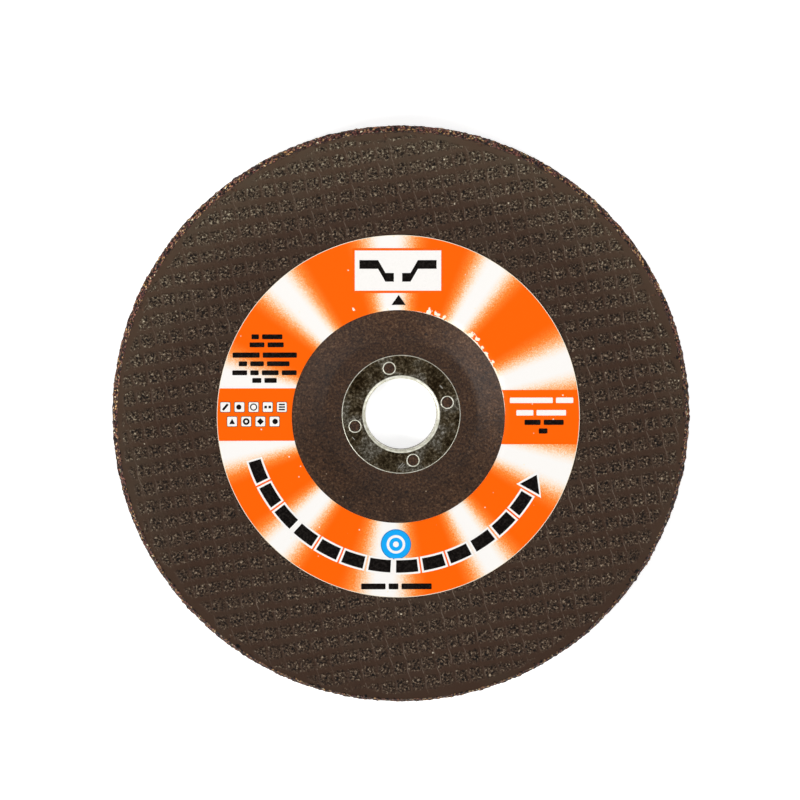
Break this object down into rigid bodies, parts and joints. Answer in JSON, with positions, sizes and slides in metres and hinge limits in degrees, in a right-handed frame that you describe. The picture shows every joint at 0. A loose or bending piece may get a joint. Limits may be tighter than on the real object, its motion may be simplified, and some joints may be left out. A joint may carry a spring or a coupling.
{
  "type": "depressed center grinding wheel",
  "caption": "Pressed abrasive wheel with a dished hub, a mesh-faced flat rim, a flanged steel ring in the bore and a round paper label.",
  "frame": {"origin": "on the wheel's axis, at the flat back of the raised hub, which the wheel rests on", "axes": "+Z along the bore axis, out of the dished front face that carries the label; +Y towards the top of the label and +X to its right"},
  "size_m": [0.18, 0.18, 0.0108],
  "materials": {
    "bonded_abrasive": "coarse brown grains in resin",
    "glass_mesh": "glass threads soaked in brown resin",
    "ring_steel": "thin zinc-plated sheet, scuffed",
    "label_paper": "orange and white print, semi-gloss"
  },
  "bodies": {
    "root": {"abrasive_body": "bonded_abrasive", "front_mesh": "glass_mesh", "centre_ring": "ring_steel", "label": "label_paper"}
  },
  "joints": []
}
